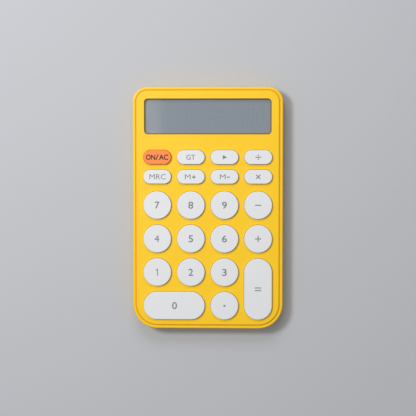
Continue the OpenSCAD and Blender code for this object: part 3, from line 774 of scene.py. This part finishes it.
def segmentShape():
    shape = bmesh.new()
    half, tall = digits["width"] / 2, digits["height"] / 4
    radius = digits["bar"] / 2 / math.sin(math.radians(60))
    reach = digits["width"] - 2 * radius - digits["gap"]
    rise = digits["height"] / 2 - 2 * radius - digits["gap"]
    places = [(0, tall * 2, False), (0, 0, False), (0, -tall * 2, False)]
    places += [(side * half, level * tall, True) for side in (-1, 1) for level in (-1, 1)]
    for index in range(digits["count"]):
        shift = (index - (digits["count"] - 1) / 2) * digits["pitch"]
        for x, y, upright in places:
            made = stretchedRound(shape, 6, radius * mm, (rise if upright else reach) * mm,
                                  upright)
            bmesh.ops.translate(shape, verts=made, vec=((x + shift) * mm, y * mm, 0))
        point = bmesh.ops.create_circle(shape, cap_ends=True, segments=digits["pointAround"],
                                        radius=digits["bar"] / 2 * mm)["verts"]
        bmesh.ops.translate(shape, verts=point,
                            vec=((shift + digits["pitch"] / 2) * mm, -tall * 2 * mm, 0))
    lean = Matrix.Identity(3)
    lean[0][1] = math.tan(math.radians(digits["slant"]))
    bmesh.ops.transform(shape, verts=shape.verts, matrix=lean.to_4x4())
    return shape


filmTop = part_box("lcd_front_polariser")[1][2]
filmCentre = nodeCentre("lcd_front_polariser")
segments = segmentShape()
raisedPrint(segments, digits["thickness"] * mm)
bmesh.ops.translate(segments, verts=segments.verts,
                    vec=(filmCentre[0], filmCentre[1] - digits["drop"] * mm, filmTop))
ghostInk = filmFinish("segmentGhost", linear(142, 153, 165))
addPiece("displaySegments", segments, ghostInk, "body")
print("display segments made")


# stage: floor, light and camera

view = {
    "turn": (3.05, -2.17, -0.12), "shift": (0.24, 0.44), "distance": 856.3,
    "focal": 113.06, "sensor": 36, "nearest": 10,
}  # degrees and mm: the calculator seen from straight above, turned very slightly


def addCamera():
    turn = (Matrix.Rotation(math.radians(view["turn"][2]), 4, "Z")
            @ Matrix.Rotation(math.radians(view["turn"][1]), 4, "Y")
            @ Matrix.Rotation(math.radians(view["turn"][0]), 4, "X"))
    seen = Matrix.Translation(Vector((*view["shift"], -view["distance"])) * mm) @ turn
    optics = bpy.data.cameras.new("topCamera")
    optics.lens = view["focal"]
    optics.sensor_width = view["sensor"]
    optics.clip_start = view["nearest"] * mm
    camera = bpy.data.objects.new("topCamera", optics)
    camera.matrix_world = seen.inverted()
    bpy.context.scene.collection.objects.link(camera)
    bpy.context.scene.camera = camera


# toward and far give a lamp that faces the calculator; a lamp with at hangs there facing down
lamps = {
    "windowLight": {"toward": (-0.47, 0.31, 0.83), "far": 0.95, "size": (0.2, 0.2), "watts": 4.3,
                    "tint": (1.0, 0.99, 0.97)},
    "farCard": {"toward": (-0.08, 0.72, 0.69), "far": 0.85, "size": (0.5, 0.3), "watts": 1.9,
                "tint": (1.0, 1.0, 1.0)},
    "leftCard": {"at": (-0.2475, 0.09, 0.9), "size": (0.3, 0.3), "watts": 0.62,
                 "tint": (1.0, 1.0, 1.0)},
}  # m


def addLamp(name, lamp):
    light = bpy.data.lights.new(name, "AREA")
    light.shape = "RECTANGLE"
    light.size, light.size_y = lamp["size"]
    light.energy = lamp["watts"]
    light.color = lamp["tint"]
    holder = bpy.data.objects.new(name, light)
    if "at" in lamp:
        holder.matrix_world = Matrix.Translation(lamp["at"])
    else:
        away = Vector(lamp["toward"]).normalized()
        holder.matrix_world = (Matrix.Translation(away * lamp["far"])
                               @ away.to_track_quat("Z", "Y").to_matrix().to_4x4())
    bpy.context.scene.collection.objects.link(holder)


ground = {"colour": linear(190, 192, 197), "speckScale": 220, "speck": 0.015, "roughness": 0.8,
          "reach": 3}  # m


def addFloor():
    finish = Finish("paleFloor")
    speck = finish.noise(ground["speckScale"], 4)
    finish.set(Base_Color=finish.toned(speck, ground["colour"], 1 - ground["speck"],
                                       1 + ground["speck"]))
    finish.fixed(Roughness=ground["roughness"])
    shape = bmesh.new()
    bmesh.ops.create_grid(shape, x_segments=1, y_segments=1, size=ground["reach"])
    mesh = bpy.data.meshes.new("floor")
    shape.to_mesh(mesh)
    shape.free()
    floor = bpy.data.objects.new("floor", mesh)
    mesh.materials.append(finish.material)
    bpy.context.scene.collection.objects.link(floor)


air = {"colour": (0.97, 0.985, 1.0, 1), "strength": 0.34}


def addSky():
    sky = bpy.data.worlds.new("studioAir")
    bpy.context.scene.world = sky
    sky.use_nodes = True
    background = sky.node_tree.nodes["Background"]
    background.inputs["Color"].default_value = air["colour"]
    background.inputs["Strength"].default_value = air["strength"]


addCamera()
for name, lamp in lamps.items():
    addLamp(name, lamp)
addFloor()
addSky()
bpy.context.scene.view_settings.view_transform = "Standard"
print("stage set")
